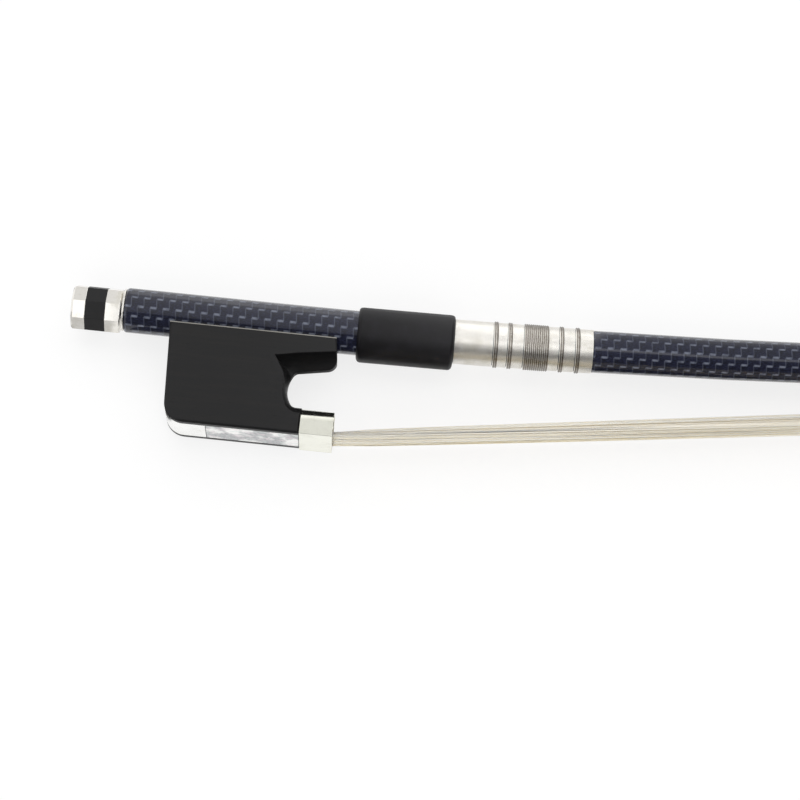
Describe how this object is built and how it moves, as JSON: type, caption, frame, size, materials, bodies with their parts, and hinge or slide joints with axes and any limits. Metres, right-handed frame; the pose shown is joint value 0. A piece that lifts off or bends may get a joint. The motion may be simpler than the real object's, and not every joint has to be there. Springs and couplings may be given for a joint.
{
  "type": "cello bow",
  "caption": "Cello bow: braided carbon stick with silver lapping and thumb grip, ebony frog on a screw, octagonal button and horse hair.",
  "frame": {"origin": "button's flat outer end, on the handle's axis, 0.5 mm above the screw's axis", "axes": "+X along the handle from the button towards the head, +Y away from the hair, +Z across the bow, to the side that the picture shows"},
  "size_m": [0.7094, 0.1114, 0.0154],
  "materials": {
    "carbon": "braided carbon fibre under clear satin lacquer",
    "ebony": "black ebony, oiled and rubbed matt",
    "silver": "polished silver",
    "wire": "drawn silver wire",
    "dark_wire": "dark wound thread",
    "pearl": "polished mother-of-pearl",
    "grip": "black, smooth and dull",
    "steel": "turned",
    "brass": "milled",
    "insert": "stained hardwood dowel",
    "boxwood": "plain cut",
    "tip": "ivory-coloured, polished",
    "hair": "bleached horse hair, drawn flat",
    "knot": "hair tied with waxed thread"
  },
  "bodies": {
    "stick": {"carbon_stick": "carbon", "handle_insert": "insert", "butt_collar": "silver", "thumb_grip": "grip", "silver_lapping": "wire", "dark_middle_band": "dark_wire", "dark_turn_by_grip": "dark_wire", "dark_turn_before_band": "dark_wire", "dark_turn_after_band": "dark_wire", "dark_turn_at_far_end": "dark_wire", "tip_plate": "tip", "tip_wedge": "boxwood", "tip_hair_knot": "knot", "hair_ribbon": "hair"},
    "frog": {"frog": "ebony", "underslide": "silver", "eyelet": "brass", "ferrule": "silver", "pearl_slide": "pearl", "slide_backing": "ebony", "heel_plate": "silver", "frog_plug": "boxwood", "frog_hair_knot": "knot", "spread_wedge": "boxwood", "heel_pin_lower": "silver", "heel_pin_upper": "silver"},
    "button": {"button_cap": "silver", "button_core": "ebony", "button_ring": "silver", "screw": "steel"}
  },
  "joints": [
    {"name": "button_turn", "type": "hinge", "parent": "stick", "child": "button", "pos_m": [0, -0.0005, 0], "axis": [1, 0, 0], "range_deg": [-1800, 3600]},
    {"name": "frog_slide", "type": "slide", "parent": "stick", "child": "frog", "axis": [1, 0, 0], "range_m": [-0.007, 0.0035], "deforming": ["hair_ribbon"]}
  ],
  "couplings": [
    {"joint": "frog_slide", "follows": "button_turn", "m_per_rad": -0.00011141}
  ]
}
